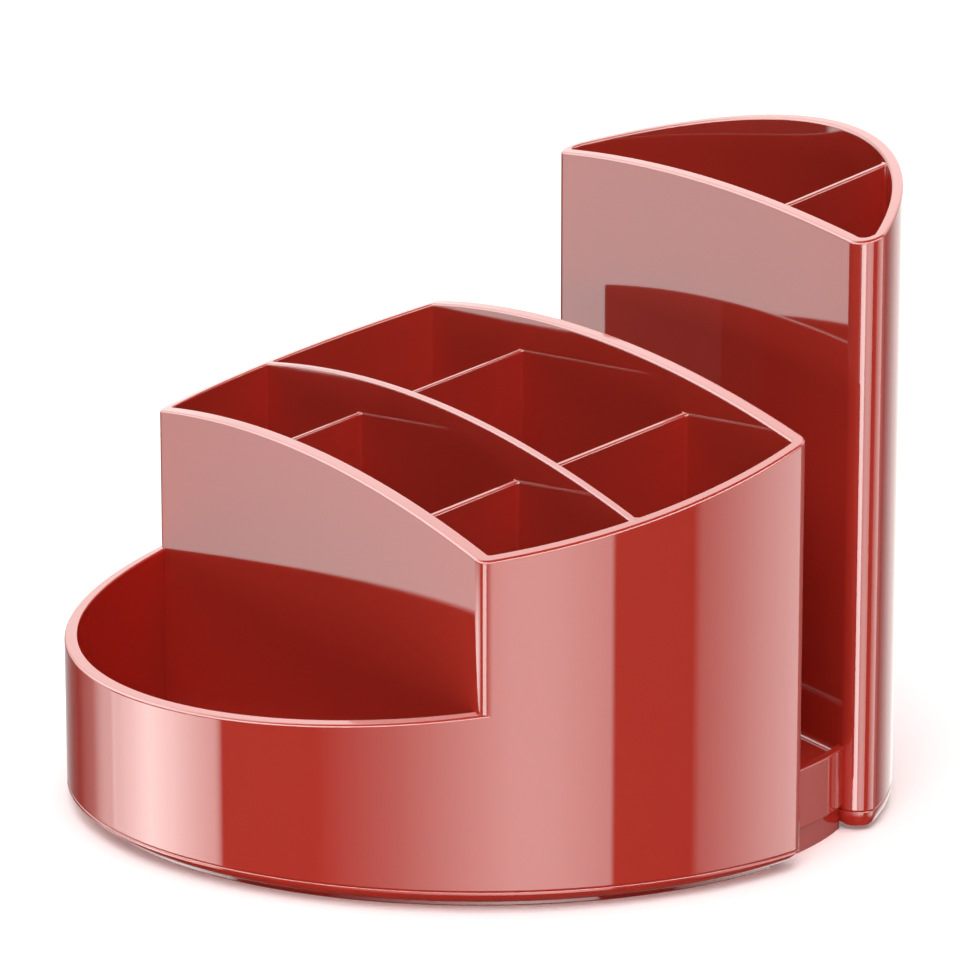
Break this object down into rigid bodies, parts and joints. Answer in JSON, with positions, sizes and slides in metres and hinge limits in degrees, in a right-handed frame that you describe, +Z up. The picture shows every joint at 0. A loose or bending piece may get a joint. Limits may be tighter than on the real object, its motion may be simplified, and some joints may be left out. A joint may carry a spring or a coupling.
{
  "type": "desk organizer",
  "caption": "Round desk organizer with a low front tray, a compartment block with crowned sloping rims, a letter slot and a tall divided pen cup.",
  "frame": {"origin": "centre of the round outline, on the plane of the feet, which is the bottom centre of the bounding box", "axes": "+Z up; +Y from the low tray at the front towards the tall cup at the back; +X to the right seen from the tray"},
  "size_m": [0.14, 0.14, 0.1095],
  "materials": {
    "shell_red": "moulded plastic with a polished, glossy surface",
    "inner_red": "the same moulded plastic, a little less polished on the inner walls"
  },
  "bodies": {
    "root": {"base_plate": "shell_red", "outer_wall": "shell_red", "front_wall": "shell_red", "rear_wall": "shell_red", "middle_divider": "inner_red", "divider_front_left": "inner_red", "divider_front_right": "inner_red", "divider_rear_left": "inner_red", "divider_rear_right": "inner_red", "bridge_deck": "inner_red", "bridge_curb_left": "shell_red", "bridge_curb_right": "shell_red", "cup_floor": "shell_red", "cup_shell": "shell_red", "cup_divider": "inner_red"}
  },
  "joints": []
}
